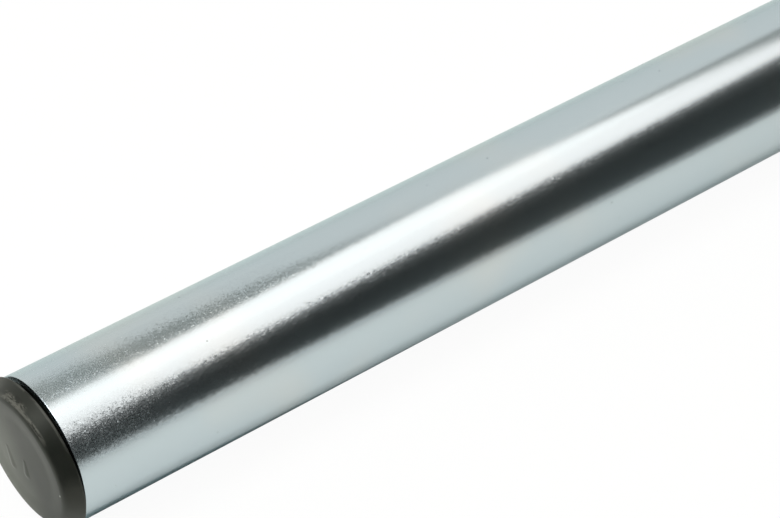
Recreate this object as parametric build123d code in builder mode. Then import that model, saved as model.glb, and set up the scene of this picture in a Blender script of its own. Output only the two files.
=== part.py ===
from build123d import *
import math
import os

# A round zinc-plated steel tube lying along X, with a moulded plastic plug in each end.
# Millimetres, +Z up. The origin is the middle of the object's footprint on the floor.
# The near end is at -X, where the plug sits crooked. The far plug is pushed fully home.

# Tube
tube_outside_diameter = 48.3
tube_wall = 2.0
tube_length = 1000.0
tube_edge_break = 0.3

# Plug head, a disc with a narrow land, a bevelled side and a rounded front edge
head_overhang = 0.8
head_thickness = 5.3
head_land = 0.4
head_bevel_depth = 3.65
head_front_round = 3.0
head_floor = 2.4

# Plug stem, a cup with gripping rings that get smaller towards its tip
stem_length = 22.0
stem_wall = 1.8
stem_tip_chamfer = 0.6
ring_count = 3
ring_first_depth = 4.5
ring_pitch = 5.6
ring_reach = 2.3
ring_lead_length = 2.2
ring_bore_clearance = 0.12
ring_spare_angle = 0.5

# How the near plug sits in its end, with the heading turned from +Y towards +Z
near_plug_tilt_angle = 2.65
near_plug_tilt_heading = 52.0
near_plug_clearance = 0.05

# Radii and the height of the tube's axis above the floor
tube_radius = tube_outside_diameter / 2
bore_radius = tube_radius - tube_wall
head_radius = tube_radius + head_overhang
head_front_radius = head_radius - head_bevel_depth
axis_height = head_radius

# The tilted plug bears on the outer corner of the tube's end face, so its middle stands off
tilt = math.radians(near_plug_tilt_angle)
heading = math.radians(near_plug_tilt_heading)
bearing_radius = tube_radius - tube_edge_break
near_stand_off = near_plug_clearance + bearing_radius * math.tan(tilt)

# The rings lie on a cone that stays inside the bore when the plug leans
ring_slope = math.tan(math.radians(near_plug_tilt_angle + ring_spare_angle))
first_ring_radius = bore_radius - ring_bore_clearance - ring_first_depth * ring_slope
stem_radius = first_ring_radius - ring_reach

# The foremost point of the tilted head lies on its rounded front edge
bevel_angle = math.atan2(head_bevel_depth, head_thickness - head_land)
round_tangent = head_front_round * math.tan((math.pi / 2 - bevel_angle) / 2)
round_centre_radius = head_front_radius - round_tangent
round_centre_height = head_thickness - head_front_round
round_reach = round_centre_height * math.cos(tilt) + round_centre_radius * math.sin(tilt)
near_overhang = near_stand_off + round_reach + head_front_round

# Places along X that keep the origin in the middle of the whole length
whole_length = near_overhang + tube_length + head_thickness
near_end_x = near_overhang - whole_length / 2
far_end_x = near_end_x + tube_length


def make_plug(seat):
    """A plug turned about the seat's normal, with the head behind the seat and the stem before it."""
    section_plane = Plane(origin=seat.origin, x_dir=seat.x_dir, z_dir=-seat.y_dir)
    with BuildPart() as plug:
        # Half section, with the radius along its X and the depth into the tube along its Y
        with BuildSketch(section_plane) as section:
            with BuildLine():
                Polyline(
                    (0, -head_thickness),
                    (head_front_radius, -head_thickness),
                    (head_radius, -head_land),
                    (head_radius, 0),
                    (0, 0),
                    close=True,
                )
            make_face()
            front_corner = section.vertices().group_by(Axis.Y)[0].sort_by(Axis.X)[-1]
            fillet(front_corner, head_front_round)

            # Stem, with its tip eased for pushing in
            with BuildLine():
                Polyline((0, 0), (stem_radius, 0), (stem_radius, stem_length), (0, stem_length), close=True)
            make_face()
            tip_corner = section.vertices().group_by(Axis.Y)[-1].sort_by(Axis.X)[-1]
            chamfer(tip_corner, stem_tip_chamfer)

            # Gripping rings, square towards the head and sloping towards the tip
            for ring in range(ring_count):
                back = ring_first_depth + ring * ring_pitch
                foot = back + ring_lead_length
                ring_radius = first_ring_radius - ring * ring_pitch * ring_slope
                with BuildLine():
                    Polyline(
                        (0, back),
                        (ring_radius, back),
                        (stem_radius, foot),
                        (0, foot),
                        close=True,
                    )
                make_face()

            # Hollow of the cup, open at the tip and closed by the head's floor
            hollow_floor = head_floor - head_thickness
            hollow_radius = stem_radius - stem_wall
            with BuildLine():
                Polyline(
                    (0, hollow_floor),
                    (hollow_radius, hollow_floor),
                    (hollow_radius, stem_length),
                    (0, stem_length),
                    close=True,
                )
            make_face(mode=Mode.SUBTRACT)
        revolve(axis=Axis(seat.origin, seat.z_dir))
    return plug


# Tube, cut square and deburred at both ends
tube_end = Plane(origin=(near_end_x, 0, axis_height), x_dir=(0, 1, 0), z_dir=(1, 0, 0))
with BuildPart() as tube:
    with BuildSketch(tube_end):
        Circle(tube_radius)
        Circle(bore_radius, mode=Mode.SUBTRACT)
    extrude(amount=tube_length)
    chamfer(tube.edges().filter_by(GeomType.CIRCLE), tube_edge_break)
tube.part.label = "tube"

# Near plug, leaning so that its head gapes above and bears below
near_seat = Plane(
    origin=(near_end_x - near_stand_off, 0, axis_height),
    z_dir=(
        math.cos(tilt),
        math.sin(tilt) * math.cos(heading),
        math.sin(tilt) * math.sin(heading),
    ),
)
near_end_plug = make_plug(near_seat)
near_end_plug.part.label = "near_end_plug"

# Far plug, with its head flat against the tube's end
far_seat = Plane(origin=(far_end_x, 0, axis_height), x_dir=(0, 1, 0), z_dir=(-1, 0, 0))
far_end_plug = make_plug(far_seat)
far_end_plug.part.label = "far_end_plug"

os.makedirs("parts", exist_ok=True)
export_step(tube.part, "parts/tube.step")
export_step(near_end_plug.part, "parts/near_end_plug.step")
export_step(far_end_plug.part, "parts/far_end_plug.step")
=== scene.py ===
"""A zinc-plated steel tube with a moulded plug in each end, dressed and lit for its picture."""
import logging
import math
from dataclasses import dataclass, field
from enum import Enum
from typing import Mapping, Optional, Sequence, Union

import bmesh
import bpy
from mathutils import Matrix, Vector


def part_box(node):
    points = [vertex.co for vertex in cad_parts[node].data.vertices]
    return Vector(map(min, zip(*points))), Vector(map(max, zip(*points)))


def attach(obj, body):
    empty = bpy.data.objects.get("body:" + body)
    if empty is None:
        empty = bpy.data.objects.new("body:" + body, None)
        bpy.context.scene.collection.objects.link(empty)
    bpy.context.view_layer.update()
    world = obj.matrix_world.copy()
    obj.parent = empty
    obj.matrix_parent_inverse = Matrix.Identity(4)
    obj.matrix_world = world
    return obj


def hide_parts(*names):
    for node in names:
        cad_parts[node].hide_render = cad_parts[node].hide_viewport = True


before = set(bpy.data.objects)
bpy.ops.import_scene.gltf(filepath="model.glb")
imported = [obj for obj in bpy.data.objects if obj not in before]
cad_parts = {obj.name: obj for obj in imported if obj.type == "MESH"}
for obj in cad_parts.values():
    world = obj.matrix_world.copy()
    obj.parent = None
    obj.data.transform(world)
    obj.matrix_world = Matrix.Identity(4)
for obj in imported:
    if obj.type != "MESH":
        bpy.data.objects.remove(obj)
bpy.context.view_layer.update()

LOG = logging.getLogger("plugged_tube")
BODY = "root"

MM = 0.001
QUARTER = 90.0
UPWARD = Vector((0.0, 0.0, 1.0))
SHARP_ANGLE = math.radians(32.0)
FLATNESS = 0.001 * MM

Colour = tuple[float, float, float, float]
Point = tuple[float, float]
Triple = tuple[float, float, float]
Face = Sequence[Sequence[float]]
Operand = Union["Sock", float]
SocketKey = Union[str, int]

WHITE: Colour = (1.0, 1.0, 1.0, 1.0)
NOISE_MIDDLE = 0.5
CELL_MIDDLE: Triple = (0.5, 0.5, 0.5)
MIX_FACTOR, MIX_FIRST, MIX_SECOND, MIX_RESULT = 0, 6, 7, 2
SHADER_FACTOR, SHADER_FIRST, SHADER_SECOND = 0, 1, 2
SQUARE_ROOT = 0.5
TURN_SIZE = 3


class Slot(Enum):
    """The record's material slots."""

    STEEL = "zinc_plated_steel"
    PLASTIC = "plug_plastic"


class End(Enum):
    """The ends of the tube, with the CAD node of the plug that closes each."""

    NEAR = "near_end_plug"
    FAR = "far_end_plug"


class Sock:
    """An output socket of a shader graph that can stand in Python expressions."""

    def __init__(self, graph: "ShaderGraph", socket: bpy.types.NodeSocket) -> None:
        """Keep the graph and the socket."""
        self.graph = graph
        self.socket = socket

    def other(self, name: str) -> "Sock":
        """Another output of the same node."""
        return Sock(self.graph, self.socket.node.outputs[name])

    def _math(self, operation: str, *values: Operand) -> "Sock":
        """One Math node on one or two values."""
        return self.graph.node("ShaderNodeMath", {"operation": operation}, dict(enumerate(values)))

    def __add__(self, value: Operand) -> "Sock":
        """self + value."""
        return self._math("ADD", self, value)

    def __radd__(self, value: Operand) -> "Sock":
        """value + self."""
        return self._math("ADD", value, self)

    def __sub__(self, value: Operand) -> "Sock":
        """self - value."""
        return self._math("SUBTRACT", self, value)

    def __rsub__(self, value: Operand) -> "Sock":
        """value - self."""
        return self._math("SUBTRACT", value, self)

    def __mul__(self, value: Operand) -> "Sock":
        """self * value."""
        return self._math("MULTIPLY", self, value)

    def __rmul__(self, value: Operand) -> "Sock":
        """value * self."""
        return self._math("MULTIPLY", value, self)

    def __pow__(self, value: Operand) -> "Sock":
        """self ** value."""
        return self._math("POWER", self, value)

    def __rpow__(self, value: Operand) -> "Sock":
        """value ** self."""
        return self._math("POWER", value, self)

    def __abs__(self) -> "Sock":
        """The value without its sign."""
        return self._math("ABSOLUTE", self)

    def cosine(self) -> "Sock":
        """The cosine of an angle."""
        return self._math("COSINE", self)

    def angle_from(self, across: "Sock") -> "Sock":
        """The angle of the point that is this far up and the other value across."""
        return self._math("ARCTAN2", self, across)

    def least(self, value: Operand) -> "Sock":
        """The smaller of the two."""
        return self._math("MINIMUM", self, value)


class ShaderGraph:
    """A node tree that is filled node by node."""

    def __init__(self, tree: bpy.types.NodeTree) -> None:
        """Start from an empty tree."""
        self.tree = tree
        tree.nodes.clear()

    def add(
        self,
        kind: str,
        settings: Optional[Mapping[str, object]] = None,
        inputs: Optional[Mapping[SocketKey, object]] = None,
    ) -> bpy.types.Node:
        """Add one node.

        Args:
            kind: The node's type name.
            settings: The node's own settings, which are set first.
            inputs: A value or a Sock for each input socket that is set, by name or number.

        Returns:
            The node.
        """
        added = self.tree.nodes.new(kind)
        for name, value in (settings or {}).items():
            setattr(added, name, value)
        for key, value in (inputs or {}).items():
            if isinstance(value, Sock):
                self.tree.links.new(value.socket, added.inputs[key])
            else:
                added.inputs[key].default_value = value
        return added

    def node(
        self,
        kind: str,
        settings: Optional[Mapping[str, object]] = None,
        inputs: Optional[Mapping[SocketKey, object]] = None,
        output: SocketKey = 0,
    ) -> Sock:
        """Add one node and take one of its outputs.

        Args:
            kind: The node's type name.
            settings: The node's own settings.
            inputs: A value or a Sock for each input socket that is set.
            output: The output's name or number.

        Returns:
            That output.
        """
        return Sock(self, self.add(kind, settings, inputs).outputs[output])

    def place(self) -> Sock:
        """The point on the surface in the row frame, in metres."""
        return self.node("ShaderNodeTexCoord", None, None, "Object")

    def step(self, value: Operand, low: float, high: float) -> Sock:
        """A smooth step from 0 at low to 1 at high.

        Args:
            value: The value that is judged.
            low: Where the step starts.
            high: Where the step ends.

        Returns:
            The step's height.
        """
        return self.node(
            "ShaderNodeMapRange",
            {"interpolation_type": "SMOOTHSTEP"},
            {"Value": value, "From Min": low, "From Max": high},
        )

    def noise(self, place: Sock, pitch: float, detail: float = 2.0, rough: float = 0.5) -> Sock:
        """Cloudy noise around its middle value.

        Args:
            place: Where on the surface.
            pitch: The size of its lumps in metres.
            detail: How many finer layers it has.
            rough: How strong the finer layers are.

        Returns:
            The noise value.
        """
        return self.node(
            "ShaderNodeTexNoise",
            {"noise_dimensions": "3D"},
            {"Vector": place, "Scale": 1.0 / pitch, "Detail": detail, "Roughness": rough},
        )

    def cells(self, place: Sock, pitch: float, output: str) -> Sock:
        """Irregular cells, as their own colour or as the distance from their middle.

        Args:
            place: Where on the surface.
            pitch: The size of a cell in metres.
            output: Color or Distance.

        Returns:
            That output of the cell pattern.
        """
        return self.node("ShaderNodeTexVoronoi", None, {"Vector": place, "Scale": 1.0 / pitch}, output)

    def vector(self, operation: str, first: object, second: object) -> Sock:
        """One Vector Math node on two vectors."""
        return self.node("ShaderNodeVectorMath", {"operation": operation}, {0: first, 1: second})

    def dot(self, first: object, second: object) -> Sock:
        """The dot product of two vectors."""
        return self.vector("DOT_PRODUCT", first, second).other("Value")

    def scale(self, vector: Sock, amount: Operand) -> Sock:
        """A vector times a number."""
        return self.node("ShaderNodeVectorMath", {"operation": "SCALE"}, {0: vector, "Scale": amount})

    def lean(self, colour: Sock) -> Sock:
        """The way that a cell leans, from the cell's own colour."""
        return self.vector("SUBTRACT", colour, CELL_MIDDLE)

    def blend(self, factor: Operand, first: object, second: object) -> Sock:
        """A colour between two.

        Args:
            factor: 0 for the first colour, 1 for the second.
            first: A colour or a Sock.
            second: A colour or a Sock.

        Returns:
            The mixed colour.
        """
        inputs = {MIX_FACTOR: factor, MIX_FIRST: first, MIX_SECOND: second}
        return self.node("ShaderNodeMix", {"data_type": "RGBA"}, inputs, MIX_RESULT)

    def bump(self, height: Operand, distance: float) -> Sock:
        """A normal that follows a height, with the distance that a height of 1 stands for."""
        return self.node("ShaderNodeBump", None, {"Height": height, "Distance": distance})

    def white_share(self, seen: float, mirrored: float) -> Sock:
        """How far the studio's surroundings show as plain white.

        Args:
            seen: The share where the camera sees them.
            mirrored: The share where metal or glass shows them.

        Returns:
            The share for the ray at hand.
        """
        path = self.node("ShaderNodeLightPath", None, None, "Is Camera Ray")
        other = path.other("Is Glossy Ray") + path.other("Is Transmission Ray")
        return path * seen + other * mirrored

    def surface(self, inputs: Mapping[SocketKey, object]) -> None:
        """Close the graph with one Principled shader that has these inputs."""
        shader = self.node("ShaderNodeBsdfPrincipled", None, inputs)
        self.add("ShaderNodeOutputMaterial", None, {"Surface": shader})


def new_graph(name: str) -> tuple[bpy.types.Material, ShaderGraph]:
    """Start a material.

    Args:
        name: The material's name.

    Returns:
        The material and its empty graph.
    """
    material = bpy.data.materials.new(name)
    material.use_nodes = True
    return material, ShaderGraph(material.node_tree)


@dataclass(frozen=True)
class Seat:
    """Where a turned piece sits: a point on its axis, the axis's direction and a spin about it."""

    origin: Vector
    axis: Vector
    spin: float = 0.0

    def sides(self) -> tuple[Vector, Vector, Vector]:
        """The piece's own directions.

        Returns:
            Unit vectors across, up and along the axis.
        """
        along = self.axis.normalized()
        up = (UPWARD - along * UPWARD.dot(along)).normalized()
        spin = Matrix.Rotation(self.spin, TURN_SIZE, along)
        return spin @ up.cross(along), spin @ up, along

    def matrix(self) -> Matrix:
        """The turn and shift from the piece's own frame, with its axis along Z, to the row frame."""
        turn = Matrix(self.sides()).transposed().to_4x4()
        return Matrix.Translation(self.origin) @ turn

    def local(self, graph: ShaderGraph, place: Sock) -> tuple[Sock, Sock, Sock]:
        """A surface point's distances across, up and along the axis.

        Args:
            graph: The graph that gets the nodes.
            place: The point in the row frame.

        Returns:
            The three distances in metres.
        """
        offset = graph.vector("SUBTRACT", place, tuple(self.origin))
        across, up, along = (graph.dot(offset, tuple(side)) for side in self.sides())
        return across, up, along


@dataclass(frozen=True)
class ZincPlate:
    """Bright zinc plate: a cool grey metal with a speckled grain that is coarser near the ends."""

    colour: Colour = (0.515, 0.579, 0.630, 1.0)
    edge_tint: Colour = (0.72, 0.79, 0.80, 1.0)
    roughness: float = 0.21

    # Wide clouds, a little warmer and rougher
    warm_colour: Colour = (0.580, 0.604, 0.622, 1.0)
    cloud_pitch: float = 60 * MM
    cloud_low: float = 0.48
    cloud_high: float = 0.72
    cloud_roughness: float = 0.05

    # The duller stretch by each end
    dull_from: float = 8 * MM
    dull_to: float = 50 * MM
    dull_roughness: float = 0.03

    # Crystals that each lean and dull a little, less so away from the ends and under the tube
    speck_pitch: float = 0.32 * MM
    speck_tilt: Triple = (0.40, 0.25, 0.25)
    speck_shade: float = 0.10
    speck_roughness: float = 0.42
    speck_rarity: float = 2.0
    speck_rest: float = 0.30
    speck_low: float = 34 * MM
    speck_high: float = 39 * MM
    speck_under: float = 0.25

    # The tube's upper side, rubbed smoother but for its crest by the ends, which keeps its crystals
    rub_low: float = 44.6 * MM
    rub_high: float = 46.0 * MM
    rub_strength: float = 0.75
    crest_low: float = 48.25 * MM
    crest_high: float = 48.8 * MM
    crest_from: float = 65 * MM
    crest_to: float = 140 * MM

    # Streaks along the tube that lean a little round it, less so away from the ends, and faint lines
    streak_from: float = 60 * MM
    streak_to: float = 150 * MM
    streak_rest: float = 0.65
    streak_pitch: float = 0.45 * MM
    streak_stretch: Triple = (0.4, 1.0, 1.0)
    streak_tilt: Triple = (0.0, 0.13, 0.13)
    draw_pitch: float = 3.0 * MM
    draw_stretch: Triple = (0.1, 1.0, 1.0)
    draw_height: float = 0.010

    # Small dark spots
    stain_colour: Colour = (0.20, 0.23, 0.24, 1.0)
    stain_pitch: float = 9 * MM
    stain_low: float = 0.022
    stain_high: float = 0.045
    stain_strength: float = 0.6

    def texture(
        self, graph: ShaderGraph, place: Sock, inward: Sock, dull: Sock
    ) -> tuple[Sock, Sock]:
        """How rough the plate's texture is, by height on the tube and by distance from its ends.

        Args:
            graph: The graph that gets the nodes.
            place: The point on the surface.
            inward: The point's distance from the nearer end.
            dull: How dull the plate is there.

        Returns:
            The share of its texture that the plate keeps at that height, and how strong its
            crystals are.
        """
        height = graph.node("ShaderNodeSeparateXYZ", None, {"Vector": place}, "Z")
        above = graph.step(height, self.speck_low, self.speck_high)
        crest = graph.step(height, self.crest_low, self.crest_high)
        crest = crest * (1 - graph.step(inward, self.crest_from, self.crest_to))
        rubbed = graph.step(height, self.rub_low, self.rub_high) * (1 - crest) * self.rub_strength
        kept = (self.speck_under + above * (1.0 - self.speck_under)) * (1 - rubbed)
        coarse = 1 - (1 - dull) * (1 - crest)
        return kept, (self.speck_rest + coarse * (1.0 - self.speck_rest)) * kept

    def tone(self, graph: ShaderGraph, place: Sock, cloud: Sock, shade: Sock) -> Sock:
        """The plate's colour with its clouds, spots and shaded crystals.

        Args:
            graph: The graph that gets the nodes.
            place: The point on the surface.
            cloud: The clouds' noise.
            shade: How dark the crystal at that point is.

        Returns:
            The colour.
        """
        warm = graph.step(cloud, self.cloud_low, self.cloud_high)
        colour = graph.blend(warm, self.colour, self.warm_colour)
        spots = graph.cells(place, self.stain_pitch, "Distance")
        stain = 1 - graph.step(spots, self.stain_low, self.stain_high)
        return graph.blend((stain * self.stain_strength + shade).least(1.0), colour, self.stain_colour)

    def relief(self, graph: ShaderGraph, place: Sock, crystal: Sock, streaky: Sock) -> Sock:
        """The plate's normal with its drawn lines, streaks and leaning crystals.

        Args:
            graph: The graph that gets the nodes.
            place: The point on the surface.
            crystal: How far the crystal at that point leans, and which way.
            streaky: How strong the streaks are there.

        Returns:
            The normal.
        """
        drawn = graph.vector("MULTIPLY", place, self.draw_stretch)
        lines = graph.bump(graph.noise(drawn, self.draw_pitch) * self.draw_height, MM)
        lane = graph.vector("MULTIPLY", place, self.streak_stretch)
        lean = graph.lean(graph.cells(lane, self.streak_pitch, "Color"))
        streak = graph.scale(lean, graph.dot(lean, lean) * streaky)
        tilt = graph.vector("MULTIPLY", crystal, self.speck_tilt)
        tilt = graph.vector("ADD", tilt, graph.vector("MULTIPLY", streak, self.streak_tilt))
        normal = graph.vector("ADD", lines, tilt)
        return graph.node("ShaderNodeVectorMath", {"operation": "NORMALIZE"}, {0: normal})

    def material(self, seat: Seat, length: float) -> bpy.types.Material:
        """The finish of a tube.

        Args:
            seat: The tube's near end and axis.
            length: The tube's length in metres.

        Returns:
            The material.
        """
        material, graph = new_graph("zinc_plate")
        place = graph.place()
        _, _, along = seat.local(graph, place)
        inward = along.least(length - along)
        dull = 1 - graph.step(inward, self.dull_from, self.dull_to)
        texture, grain = self.texture(graph, place, inward, dull)
        smooth = graph.step(inward, self.streak_from, self.streak_to) * (1.0 - self.streak_rest)
        streaky = (1 - smooth) * texture

        speck = graph.cells(place, self.speck_pitch, "Color")
        shade = graph.node("ShaderNodeSeparateColor", None, {"Color": speck}) * grain * self.speck_shade
        lean = graph.lean(speck)
        reach = graph.dot(lean, lean)
        crystal = graph.scale(lean, reach * grain)
        pitted = reach ** self.speck_rarity * dull * texture * self.speck_roughness
        cloud = graph.noise(place, self.cloud_pitch)
        patchy = dull * self.dull_roughness + (cloud - NOISE_MIDDLE) * self.cloud_roughness
        graph.surface({
            "Base Color": self.tone(graph, place, cloud, shade),
            "Metallic": 1.0,
            "Roughness": self.roughness + patchy + pitted,
            "Specular Tint": self.edge_tint,
            "Normal": self.relief(graph, place, crystal, streaky),
        })
        return material


@dataclass(frozen=True)
class WearAndHighlight:
    """A mark on a plug's head, a worn place or a painted highlight: part of a ring round its axis,
    solid or broken into flecks.
    """

    colour: Colour
    heading: float
    spread: float
    radius: float
    half_width: float
    strength: float = 1.0
    full_spread: float = 0.5
    full_width: float = 0.3
    fade_from: float = -1.2 * MM
    fade_to: float = -0.6 * MM
    fleck_pitch: float = 0.0
    fleck_low: float = 0.36
    fleck_high: float = 0.56
    fleck_detail: float = 4.0
    fleck_rough: float = 0.7
    fleck_stretch: float = 0.3

    def mask(self, graph: ShaderGraph, radius: Sock, angle: Sock, depth: Sock) -> Sock:
        """How strongly the mark covers a point.

        Args:
            graph: The graph that gets the nodes.
            radius: The point's distance from the plug's axis.
            angle: The point's angle round that axis.
            depth: The point's distance along the axis.

        Returns:
            The strength in the middle of the mark and 0 outside it.
        """
        aside = abs(radius - self.radius)
        ring = 1 - graph.step(aside, self.half_width * self.full_width, self.half_width)
        edge, full = math.cos(self.spread), math.cos(self.spread * self.full_spread)
        stretch = graph.step((angle - self.heading).cosine(), edge, full)
        mask = ring * stretch * (1 - graph.step(depth, self.fade_from, self.fade_to)) * self.strength
        if self.fleck_pitch:
            round_axis = angle * (self.radius * self.fleck_stretch)
            lane = graph.node("ShaderNodeCombineXYZ", None, {"X": round_axis, "Y": radius, "Z": depth})
            flecks = graph.noise(lane, self.fleck_pitch, self.fleck_detail, self.fleck_rough)
            mask = mask * graph.step(flecks, self.fleck_low, self.fleck_high)
        return mask


RUB_LINE = WearAndHighlight(
    colour=(0.105, 0.104, 0.093, 1.0),
    heading=math.radians(98.0),
    spread=math.radians(36.0),
    radius=21.95 * MM,
    half_width=0.60 * MM,
    strength=0.85,
    fleck_pitch=0.6 * MM,
    fleck_high=0.54,
)
RUB_PATCH = WearAndHighlight(
    colour=(0.100, 0.097, 0.085, 1.0),
    heading=math.radians(85.0),
    spread=math.radians(17.0),
    radius=22.40 * MM,
    half_width=1.10 * MM,
    strength=0.85,
    fleck_pitch=0.5 * MM,
    fleck_low=0.44,
    fleck_high=0.60,
)
DARK_SCRATCH = WearAndHighlight(
    colour=(0.002, 0.002, 0.002, 1.0),
    heading=math.radians(88.0),
    spread=math.radians(6.0),
    radius=23.20 * MM,
    half_width=0.45 * MM,
    strength=0.8,
)
LIGHT_SPECK = WearAndHighlight(
    colour=(0.400, 0.400, 0.380, 1.0),
    heading=math.radians(178.0),
    spread=math.radians(1.3),
    radius=19.70 * MM,
    half_width=0.32 * MM,
)
# Painted highlight: a paler line along the head's back edge, where that edge catches the light.
PAINTED_BACK_EDGE_HIGHLIGHT = WearAndHighlight(
    colour=(0.090, 0.092, 0.086, 1.0),
    heading=math.radians(108.0),
    spread=math.radians(38.0),
    radius=24.95 * MM,
    half_width=0.30 * MM,
    strength=0.5,
    full_width=0.5,
    fade_from=1.0 * MM,
    fade_to=2.0 * MM,
    fleck_pitch=1.5 * MM,
)
HEAD_WEAR_AND_HIGHLIGHT = (RUB_LINE, RUB_PATCH, DARK_SCRATCH, LIGHT_SPECK, PAINTED_BACK_EDGE_HIGHLIGHT)


@dataclass(frozen=True)
class PlugPlastic:
    """Moulded black plastic with a satin skin, a painted sheen on one side of its face, scuffs on its
    rounded edge and a painted highlight along its back edge.
    """

    colour: Colour = (0.0062, 0.0074, 0.0060, 1.0)
    gloss_tint: Colour = (1.0, 1.0, 0.90, 1.0)
    ior: float = 1.42
    roughness: float = 0.40

    # Cloudy bloom in the skin, and the skin's own fine grain
    bloom_colour: Colour = (0.012, 0.013, 0.011, 1.0)
    bloom_pitch: float = 9 * MM
    bloom_detail: float = 4.0
    bloom_low: float = 0.40
    bloom_high: float = 0.70
    bloom_roughness: float = 0.12
    skin_pitch: float = 0.45 * MM
    skin_height: float = 0.006

    # Painted sheen, for the brighter floor that the face mirrors on one side: it thickens along a
    # heading across the face, between two depths in front of the seat
    painted_sheen_colour: Colour = (0.115, 0.118, 0.106, 1.0)
    painted_sheen_heading: float = math.radians(330.0)
    painted_sheen_from: float = -6 * MM
    painted_sheen_to: float = 18 * MM
    painted_sheen_front: float = 5.0 * MM
    painted_sheen_back: float = 4.2 * MM

    wear_and_highlight: tuple[WearAndHighlight, ...] = HEAD_WEAR_AND_HIGHLIGHT

    def painted_sheen(self, graph: ShaderGraph, across: Sock, up: Sock, depth: Sock) -> Sock:
        """The painted sheen that thickens towards one side of the face, standing in for a reflection.

        Args:
            graph: The graph that gets the nodes.
            across: A point's distance across the plug.
            up: The point's distance up the plug.
            depth: The point's distance along the plug.

        Returns:
            0 where the face keeps its own colour and 1 where the painted sheen covers it.
        """
        side = across * math.cos(self.painted_sheen_heading) + up * math.sin(self.painted_sheen_heading)
        on_face = 1 - graph.step(depth, -self.painted_sheen_front, -self.painted_sheen_back)
        return graph.step(side, self.painted_sheen_from, self.painted_sheen_to) * on_face

    def material(self, end: End, seat: Seat) -> bpy.types.Material:
        """The finish of one plug.

        Args:
            end: The end that the plug closes.
            seat: The plug's seat.

        Returns:
            The material.
        """
        material, graph = new_graph("plug_plastic_" + end.name.lower())
        place = graph.place()
        across, up, depth = seat.local(graph, place)
        radius = (across * across + up * up) ** SQUARE_ROOT
        angle = up.angle_from(across)

        bloom = graph.noise(place, self.bloom_pitch, self.bloom_detail)
        bloomed = graph.step(bloom, self.bloom_low, self.bloom_high)
        colour = graph.blend(bloomed, self.colour, self.bloom_colour)
        # Painted sheen: the face paler towards one side, for the brighter floor that it mirrors there.
        colour = graph.blend(self.painted_sheen(graph, across, up, depth), colour, self.painted_sheen_colour)
        # Scuffs, a scratch and a speck, and the painted highlight along the head's back edge.
        for wear_and_highlight in self.wear_and_highlight:
            colour = graph.blend(wear_and_highlight.mask(graph, radius, angle, depth), colour, wear_and_highlight.colour)
        skin = graph.noise(place, self.skin_pitch)
        graph.surface({
            "Base Color": colour,
            "Roughness": self.roughness + (bloom - NOISE_MIDDLE) * self.bloom_roughness,
            "IOR": self.ior,
            "Specular Tint": self.gloss_tint,
            "Normal": graph.bump(skin * self.skin_height, MM),
        })
        return material


def turn_outline(name: str, outline: Sequence[Point], sides: int, closed: bool) -> bpy.types.Mesh:
    """Turn an outline about Z.

    Args:
        name: The mesh's name.
        outline: Points of radius and depth; a radius of 0 is a pole.
        sides: How many sides the turned mesh has.
        closed: True where the last point joins the first.

    Returns:
        The mesh, smooth but for its sharp corners.
    """
    angles = [math.tau * side / sides for side in range(sides)]
    shape = bmesh.new()
    rings = []
    for radius, depth in outline:
        if radius == 0:
            rings.append([shape.verts.new((0.0, 0.0, depth))] * sides)
        else:
            rings.append([
                shape.verts.new((radius * math.cos(angle), radius * math.sin(angle), depth))
                for angle in angles
            ])
    joins = list(zip(rings, rings[1:]))
    if closed:
        joins.append((rings[-1], rings[0]))
    for first, second in joins:
        for side in range(sides):
            after = (side + 1) % sides
            corners = [first[side], first[after], second[after], second[side]]
            shape.faces.new(list(dict.fromkeys(corners)))
    bmesh.ops.recalc_face_normals(shape, faces=shape.faces)
    mesh = bpy.data.meshes.new(name)
    shape.to_mesh(mesh)
    shape.free()
    mesh.shade_smooth()
    mesh.set_sharp_from_angle(angle=SHARP_ANGLE)
    return mesh


def arc(centre: Point, radius: float, start: float, end: float, steps: int) -> list[Point]:
    """Points along an arc.

    Args:
        centre: The arc's centre.
        radius: The arc's radius.
        start: The first point's angle in degrees.
        end: The last point's angle in degrees.
        steps: How many steps lie between them.

    Returns:
        The points, with both ends.
    """
    turns = [math.radians(start + (end - start) * step / steps) for step in range(steps + 1)]
    return [
        (centre[0] + radius * math.cos(turn), centre[1] + radius * math.sin(turn))
        for turn in turns
    ]


def between(start: Point, end: Point, steps: int) -> list[Point]:
    """Points between two, without the two themselves.

    Args:
        start: The point before the first.
        end: The point after the last.
        steps: How many steps lie between start and end.

    Returns:
        The points between.
    """
    return [
        (start[0] + (end[0] - start[0]) * step / steps, start[1] + (end[1] - start[1]) * step / steps)
        for step in range(1, steps)
    ]


def swell(gap: float, reach: float) -> float:
    """A smooth hump, 1 where the gap is 0 and 0 where it is the reach or more."""
    return (1.0 + math.cos(math.pi * min(gap / reach, 1.0))) / 2


def add_piece(
    mesh: bpy.types.Mesh, material: bpy.types.Material, node: str
) -> bpy.types.Object:
    """Put a mesh into the scene in the place of a CAD node.

    Args:
        mesh: The mesh, in the row frame.
        material: Its finish.
        node: The CAD node that it stands for.

    Returns:
        The new piece.
    """
    mesh.materials.append(material)
    piece = bpy.data.objects.new(mesh.name, mesh)
    bpy.context.scene.collection.objects.link(piece)
    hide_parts(node)
    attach(piece, BODY)
    return piece


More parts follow.
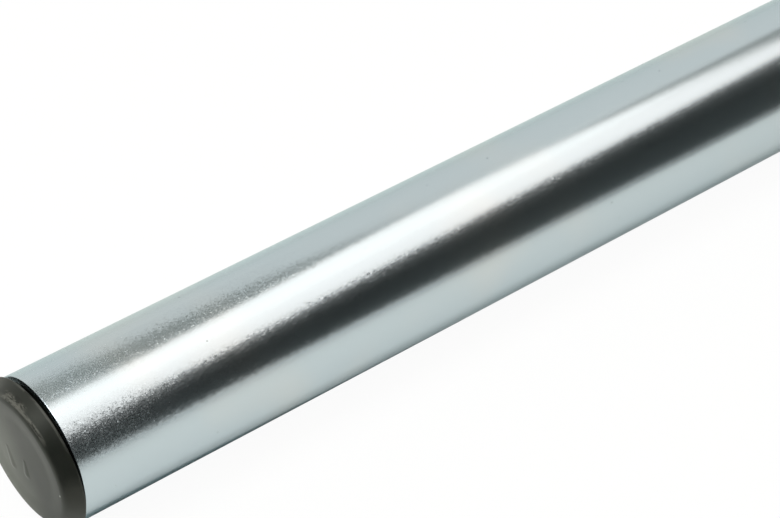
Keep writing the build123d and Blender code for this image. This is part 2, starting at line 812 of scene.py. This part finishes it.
@dataclass
class Tube:
    """The steel tube, cut square and deburred at both ends."""

    diameter: float = 48.3 * MM
    wall: float = 2.0 * MM
    edge_round: float = 0.3 * MM
    round_steps: int = 5
    sides: int = 320
    finish: ZincPlate = field(default_factory=ZincPlate)

    def __post_init__(self) -> None:
        """Read the tube's place from its CAD node."""
        low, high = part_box("tube")
        self.radius = self.diameter / 2
        self.length = high.x - low.x
        middle = (low + high) / 2
        self.near_seat = Seat(Vector((low.x, middle.y, middle.z)), Vector((1.0, 0.0, 0.0)))
        self.far_seat = Seat(Vector((high.x, middle.y, middle.z)), Vector((-1.0, 0.0, 0.0)))

    def outline(self) -> list[Point]:
        """The closed section of the wall.

        Returns:
            Points of radius and depth, from the near end's outer corner round to its inner one.
        """
        bend, steps = self.edge_round, self.round_steps
        near, far = bend, self.length - bend
        outer, inner = self.radius - bend, self.radius - self.wall + bend
        corners = ((outer, near), (outer, far), (inner, far), (inner, near))
        points = []
        for turn, corner in enumerate(corners):
            points += arc(corner, bend, (turn - 1) * QUARTER, turn * QUARTER, steps)
        return points

    def build(self) -> bpy.types.Object:
        """Turn the wall, seat it and dress it.

        Returns:
            The tube's piece.
        """
        mesh = turn_outline("plated_tube", self.outline(), self.sides, True)
        mesh.transform(self.near_seat.matrix())
        material = self.finish.material(self.near_seat, self.length)
        return add_piece(mesh, material, "tube")


@dataclass(frozen=True)
class Ridge:
    """A low raised mark on a plug's face that grows from its start to its end."""

    start: Point
    end: Point
    half_width: float = 2.1 * MM
    height: float = 0.28 * MM
    taper: float = 0.5

    def rise(self, across: float, up: float) -> float:
        """How high the mark stands at a point of the face.

        Args:
            across: The point's distance across the plug.
            up: The point's distance up the plug.

        Returns:
            The height in metres, 0 outside the mark.
        """
        run = Vector(self.end) - Vector(self.start)
        from_start = Vector((across, up)) - Vector(self.start)
        share = min(max(from_start.dot(run) / run.length_squared, 0.0), 1.0)
        gap = (from_start - run * share).length
        fullness = 1.0 - self.taper * (1.0 - share)
        return self.height * fullness * swell(gap, self.half_width * fullness)


FACE_RIDGES = (
    Ridge(start=(9.1 * MM, -1.2 * MM), end=(7.1 * MM, -7.5 * MM)),
    Ridge(start=(-0.2 * MM, -0.7 * MM), end=(-0.5 * MM, -5.7 * MM)),
)


@dataclass
class EndPlug:
    """A push-in plug: a bevelled head with a rounded front edge, and a ringed hollow stem."""

    end: End
    tube: Tube
    head_overhang: float = 0.8 * MM
    head_thickness: float = 5.3 * MM
    head_land: float = 0.4 * MM
    head_bevel: float = 3.65 * MM
    head_floor: float = 2.4 * MM
    front_round: float = 3.0 * MM
    back_round: float = 0.15 * MM

    # The shallow dish of the face and the marks raised in it
    dish_depth: float = 0.35 * MM
    dish_floor: float = 13.5 * MM
    dish_rim: float = 19.7 * MM
    ridges: tuple[Ridge, ...] = FACE_RIDGES

    # The hollow stem, with its rings on a cone a little steeper than the near plug's lean
    stem_length: float = 22.0 * MM
    stem_wall: float = 1.8 * MM
    tip_chamfer: float = 0.6 * MM
    ring_count: int = 3
    ring_first: float = 4.5 * MM
    ring_pitch: float = 5.6 * MM
    ring_reach: float = 2.3 * MM
    ring_lead: float = 2.2 * MM
    ring_clearance: float = 0.12 * MM
    ring_spare: float = math.radians(0.5)

    # How each plug sits in its end
    near_tilt: float = math.radians(2.65)
    near_heading: float = math.radians(52.0)
    near_clearance: float = 0.05 * MM
    far_spin: float = math.radians(140.0)

    # How finely the plug is meshed
    sides: int = 360
    face_steps: int = 64
    front_steps: int = 14
    bevel_steps: int = 5
    back_steps: int = 4
    finish: PlugPlastic = field(default_factory=PlugPlastic)

    def seat(self) -> Seat:
        """Where the plug sits.

        Returns:
            The middle of the head's back and the axis into the tube.
        """
        if self.end is End.FAR:
            return Seat(self.tube.far_seat.origin, self.tube.far_seat.axis, self.far_spin)
        tilt, heading = self.near_tilt, self.near_heading
        bearing = self.tube.radius - self.tube.edge_round
        stand_off = self.near_clearance + bearing * math.tan(tilt)
        axis = Vector((
            math.cos(tilt),
            math.sin(tilt) * math.cos(heading),
            math.sin(tilt) * math.sin(heading),
        ))
        return Seat(self.tube.near_seat.origin - Vector((stand_off, 0.0, 0.0)), axis)

    def head_outline(self) -> list[Point]:
        """The head's section.

        Returns:
            Points of radius and depth, from the middle of the face to the edge of the head's back.
        """
        rim = self.tube.radius + self.head_overhang
        front = rim - self.head_bevel
        turn = math.degrees(math.atan2(self.head_thickness - self.head_land, self.head_bevel))
        flat = front - self.front_round * math.tan(math.radians(turn) / 2)
        face, land = -self.head_thickness, (rim, -self.head_land)
        centre = (flat, face + self.front_round)
        points = [(0.0, face)] + between((0.0, face), (flat, face), self.face_steps)
        points += arc(centre, self.front_round, -QUARTER, turn - QUARTER, self.front_steps)
        points += between(points[-1], land, self.bevel_steps)
        points.append(land)
        back_centre = (rim - self.back_round, -self.back_round)
        points += arc(back_centre, self.back_round, 0.0, QUARTER, self.back_steps)
        return points

    def stem_outline(self) -> list[Point]:
        """The stem's section.

        Returns:
            Points of radius and depth, from the stem's foot over the rings and the tip to the
            middle of its hollow.
        """
        bore = self.tube.radius - self.tube.wall
        slope = math.tan(self.near_tilt + self.ring_spare)
        first = bore - self.ring_clearance - self.ring_first * slope
        stem = first - self.ring_reach
        points = [(stem, 0.0)]
        for ring in range(self.ring_count):
            back = self.ring_first + ring * self.ring_pitch
            points += [
                (stem, back),
                (first - ring * self.ring_pitch * slope, back),
                (stem, back + self.ring_lead),
            ]
        hollow = stem - self.stem_wall
        floor = self.head_floor - self.head_thickness
        points += [
            (stem, self.stem_length - self.tip_chamfer),
            (stem - self.tip_chamfer, self.stem_length),
            (hollow, self.stem_length),
            (hollow, floor),
            (0.0, floor),
        ]
        return points

    def mould_face(self, mesh: bpy.types.Mesh) -> None:
        """Dish the head's flat face a little and raise the marks on it.

        Args:
            mesh: The plug's mesh in its own frame.
        """
        for vertex in mesh.vertices:
            if abs(vertex.co.z + self.head_thickness) < FLATNESS:
                across, up = vertex.co.x, vertex.co.y
                outward = max(math.hypot(across, up) - self.dish_floor, 0.0)
                vertex.co.z += self.dish_depth * swell(outward, self.dish_rim - self.dish_floor)
                vertex.co.z -= max(ridge.rise(across, up) for ridge in self.ridges)

    def build(self) -> bpy.types.Object:
        """Turn the plug, mould its face, seat it and dress it.

        Returns:
            The plug's piece.
        """
        outline = self.head_outline() + self.stem_outline()
        mesh = turn_outline("moulded_" + self.end.value, outline, self.sides, False)
        self.mould_face(mesh)
        mesh.transform(self.seat().matrix())
        material = self.finish.material(self.end, self.seat())
        return add_piece(mesh, material, self.end.value)


@dataclass(frozen=True)
class FloorPaint:
    """A pale matt floor that shows white and keeps a soft shadow."""

    colour: Colour = (0.915, 0.94, 0.90, 1.0)
    seen_share: float = 0.95
    mirrored_share: float = 0.20

    def material(self) -> bpy.types.Material:
        """The floor's finish.

        Returns:
            The material.
        """
        material, graph = new_graph("pale_floor")
        share = graph.white_share(self.seen_share, self.mirrored_share)
        matt = graph.node("ShaderNodeBsdfDiffuse", None, {"Color": self.colour})
        white = graph.node("ShaderNodeEmission", None, {"Color": WHITE, "Strength": 1.0})
        inputs = {SHADER_FACTOR: share, SHADER_FIRST: matt, SHADER_SECOND: white}
        shown = graph.node("ShaderNodeMixShader", None, inputs)
        graph.add("ShaderNodeOutputMaterial", None, {"Surface": shown})
        return material


@dataclass(frozen=True)
class FlagCloth:
    """The dull cloth of one of the studio's flags."""

    name: str
    colour: Colour

    def material(self) -> bpy.types.Material:
        """The cloth's finish.

        Returns:
            The material.
        """
        material, graph = new_graph(self.name)
        matt = graph.node("ShaderNodeBsdfDiffuse", None, {"Color": self.colour})
        graph.add("ShaderNodeOutputMaterial", None, {"Surface": matt})
        return material


DARK_CLOTH = FlagCloth("dark_flag_cloth", (0.080, 0.090, 0.093, 1.0))
GREY_CLOTH = FlagCloth("grey_flag_cloth", (0.420, 0.430, 0.425, 1.0))
# Painted shadow: the cloth of the sheet under the tube's near end, which darkens the tube's mirrored
# bottom edge.
CONTACT_SHADOW_CLOTH = FlagCloth("contact_shadow_cloth", (0.430, 0.530, 0.545, 1.0))


@dataclass
class Studio:
    """The floor, the surroundings, the lamps, the flags that the plate mirrors, and the camera."""

    near_end: Vector
    floor_half: float = 30.0
    sky: Colour = (0.93, 0.945, 0.885, 1.0)
    sky_mirrored: float = 0.10

    # The softbox overhead, placed along and across a heading that the flags share
    heading: float = math.radians(40.0)
    box_middle: Point = (-1.22, -0.47)
    box_size: Point = (4.54, 1.50)
    box_height: float = 2.0
    box_radiance: float = 1.69
    box_tint: Triple = (1.0, 0.93, 0.86)

    # The fill lamp over the near end
    fill_place: Triple = (-1.75, 0.10, 1.7)
    fill_size: Point = (2.4, 0.8)
    fill_radiance: float = 4.4
    fill_tint: Triple = (0.97, 1.0, 1.0)

    # Flags behind, beside and over the camera: how far each reaches, and the feet and tops of the walls
    flag_back: float = -1.7
    flag_front: float = 1.58
    flag_side: float = -2.6
    flag_far_side: float = 2.6
    back_foot: float = 0.06
    back_split: float = -0.5
    back_low_top: float = 1.3
    side_high_foot: float = 0.40
    side_low_foot: float = 0.03
    side_bend: float = -0.55
    roof_height: float = 2.15
    roof_split: float = -0.46
    roof_near_front: float = 2.60
    roof_notch: Point = (1.0, 0.21)
    roof_far_front: float = 2.05

    # Aprons just above the floor: dark ones by the plug and by the tube's far half, and under the
    # tube's near end a cool one, a painted contact shadow that only the tube's reflection shows, with
    # their corners measured from the near end
    apron_near: tuple[Point, ...] = ((-1.2, -1.3), (-0.045, -1.3), (-0.045, -0.03), (-1.2, -0.03))
    apron_far: tuple[Point, ...] = ((0.47, -2.0), (2.1, -2.0), (2.1, -0.35), (0.47, -0.35))
    contact_shadow_apron: tuple[Point, ...] = ((0.002, -0.0225), (0.15, -0.015), (0.15, 0.01), (0.002, 0.01))
    apron_height: float = 0.45 * MM

    # The camera, from the near end
    camera_from_end: Triple = (-0.246098, -0.483997, 0.532962)
    camera_azimuth: float = math.radians(37.853)
    camera_dip: float = math.radians(40.709)
    lens: float = 117.94
    sensor: float = 36.0
    clip_start: float = 0.01
    clip_end: float = 200.0

    def turned(self, ahead: float, aside: float, height: float) -> Vector:
        """A point given along and across the studio's heading."""
        return Matrix.Rotation(self.heading, TURN_SIZE, "Z") @ Vector((ahead, aside, height))

    def add_sheet(
        self, name: str, faces: Sequence[Face], material: bpy.types.Material
    ) -> bpy.types.Object:
        """A stage object of flat faces.

        Args:
            name: The object's name.
            faces: The corners of each face.
            material: Its material.

        Returns:
            The object.
        """
        shape = bmesh.new()
        for corners in faces:
            shape.faces.new([shape.verts.new(corner) for corner in corners])
        mesh = bpy.data.meshes.new(name)
        shape.to_mesh(mesh)
        shape.free()
        mesh.materials.append(material)
        sheet = bpy.data.objects.new(name, mesh)
        bpy.context.scene.collection.objects.link(sheet)
        return sheet

    def build_floor(self) -> bpy.types.Object:
        """Lay the floor under the tube.

        Returns:
            The floor.
        """
        reach = self.floor_half
        corners = (
            (-reach, -reach, 0.0),
            (reach, -reach, 0.0),
            (reach, reach, 0.0),
            (-reach, reach, 0.0),
        )
        return self.add_sheet("studio_floor", [corners], FloorPaint().material())

    def wall_faces(self) -> list[Face]:
        """The dark walls behind and beside the camera and the dark near half of the roof.

        Returns:
            The corners of each face in the row frame.
        """
        back, front = self.flag_back, self.flag_front
        side, far_side = self.flag_side, self.flag_far_side
        foot, high_foot, low_foot = self.back_foot, self.side_high_foot, self.side_low_foot
        split, low, top, ridge = self.back_split, self.back_low_top, self.roof_height, self.roof_split
        faces = (
            ((back, side, high_foot), (back, split, foot), (back, split, top), (back, side, top)),
            ((back, split, foot), (back, far_side, foot), (back, far_side, low), (back, split, low)),
            (
                (back, side, high_foot),
                (self.side_bend, side, low_foot),
                (front, side, low_foot),
                (front, side, top),
                (back, side, top),
            ),
            ((back, side, top), (front, side, top), (front, ridge, top), (back, ridge, top)),
        )
        return [[self.turned(*corner) for corner in face] for face in faces]

    def roof_faces(self) -> list[Face]:
        """The grey far half of the roof.

        Returns:
            The corners of its one face in the row frame.
        """
        back, far_side = self.flag_back, self.flag_far_side
        top, ridge = self.roof_height, self.roof_split
        corners = (
            (back, ridge),
            (self.roof_near_front, ridge),
            self.roof_notch,
            (self.roof_far_front, far_side),
            (back, far_side),
        )
        return [[self.turned(ahead, aside, top) for ahead, aside in corners]]

    def apron_faces(self, *aprons: Sequence[Point]) -> list[Face]:
        """Aprons on the floor.

        Args:
            aprons: The corners of each apron from the near end.

        Returns:
            The corners of each face in the row frame.
        """
        foot = Vector((self.near_end.x, self.near_end.y, self.apron_height))
        return [[foot + Vector((x, y, 0.0)) for x, y in corners] for corners in aprons]

    def build_flags(self) -> list[bpy.types.Object]:
        """Hang the flags, which the camera doesn't see, and lay the aprons, which only gloss shows.

        Returns:
            The flags.
        """
        dark, grey, contact_shadow_material = (cloth.material() for cloth in (DARK_CLOTH, GREY_CLOTH, CONTACT_SHADOW_CLOTH))
        walls = self.add_sheet("wall_flags", self.wall_faces(), dark)
        roof = self.add_sheet("roof_flag", self.roof_faces(), grey)
        aprons = [
            self.add_sheet("floor_flag", self.apron_faces(self.apron_near, self.apron_far), dark),
            # A painted contact shadow under the tube's near end, seen only in the tube's reflection.
            self.add_sheet("painted_contact_shadow", self.apron_faces(self.contact_shadow_apron), contact_shadow_material),
        ]
        for apron in aprons:
            apron.visible_shadow = False
            apron.visible_diffuse = False
        flags = [walls, roof] + aprons
        for flag in flags:
            flag.visible_camera = False
        return flags

    def add_lamp(
        self, name: str, place: Sequence[float], size: Point, turn: float, radiance: float, tint: Triple
    ) -> bpy.types.Object:
        """A soft lamp that looks straight down and that the camera doesn't see.

        Args:
            name: The lamp's name.
            place: Its middle.
            size: Its length and width.
            turn: The turn of its length from X.
            radiance: How bright its face is, where 1 is white.
            tint: Its colour.

        Returns:
            The lamp.
        """
        light = bpy.data.lights.new(name, "AREA")
        light.shape = "RECTANGLE"
        light.size, light.size_y = size
        light.energy = radiance * math.pi * size[0] * size[1]
        light.color = tint
        lamp = bpy.data.objects.new(name, light)
        lamp.location = place
        lamp.rotation_euler = (0.0, 0.0, turn)
        lamp.visible_camera = False
        bpy.context.scene.collection.objects.link(lamp)
        return lamp

    def build_lamps(self) -> list[bpy.types.Object]:
        """Hang the softbox over the tube and the fill lamp over its near end.

        Returns:
            The lamps.
        """
        box_place = self.turned(*self.box_middle, self.box_height)
        return [
            self.add_lamp(
                "softbox", box_place, self.box_size, self.heading, self.box_radiance, self.box_tint
            ),
            self.add_lamp(
                "fill_lamp", self.fill_place, self.fill_size, 0.0, self.fill_radiance, self.fill_tint
            ),
        ]

    def build_sky(self) -> None:
        """Set the even pale surroundings, which the camera sees as white."""
        world = bpy.data.worlds.new("studio_surroundings")
        world.use_nodes = True
        graph = ShaderGraph(world.node_tree)
        colour = graph.blend(graph.white_share(1.0, self.sky_mirrored), self.sky, WHITE)
        pale = graph.node("ShaderNodeBackground", None, {"Color": colour, "Strength": 1.0})
        graph.add("ShaderNodeOutputWorld", None, {"Surface": pale})
        bpy.context.scene.world = world

    def build_camera(self) -> bpy.types.Object:
        """Set the camera at the picture's viewing angle.

        Returns:
            The camera.
        """
        optics = bpy.data.cameras.new("picture_camera")
        optics.lens, optics.sensor_width = self.lens, self.sensor
        optics.clip_start, optics.clip_end = self.clip_start, self.clip_end
        camera = bpy.data.objects.new("picture_camera", optics)
        camera.location = self.near_end + Vector(self.camera_from_end)
        camera.rotation_euler = (math.pi / 2 - self.camera_dip, 0.0, -self.camera_azimuth)
        bpy.context.scene.collection.objects.link(camera)
        bpy.context.scene.camera = camera
        return camera

    def build(self) -> list[bpy.types.Object]:
        """Set up the whole studio.

        Returns:
            The camera, the floor, the flags and the lamps.
        """
        bpy.context.scene.view_settings.view_transform = "Standard"
        self.build_sky()
        return [self.build_camera(), self.build_floor()] + self.build_flags() + self.build_lamps()


def main() -> None:
    """Build the studio and the pieces in order, and report each."""
    logging.basicConfig(level=logging.INFO, format="%(message)s")
    LOG.info("frame: %d nodes", len(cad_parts))
    tube = Tube()
    for thing in Studio(tube.near_seat.origin).build():
        LOG.info("studio: %s", thing.name)
    pieces = [tube.build()] + [EndPlug(end, tube).build() for end in End]
    for piece in pieces:
        LOG.info("piece: %s, %d faces", piece.name, len(piece.data.polygons))


if __name__ == "__main__":
    main()
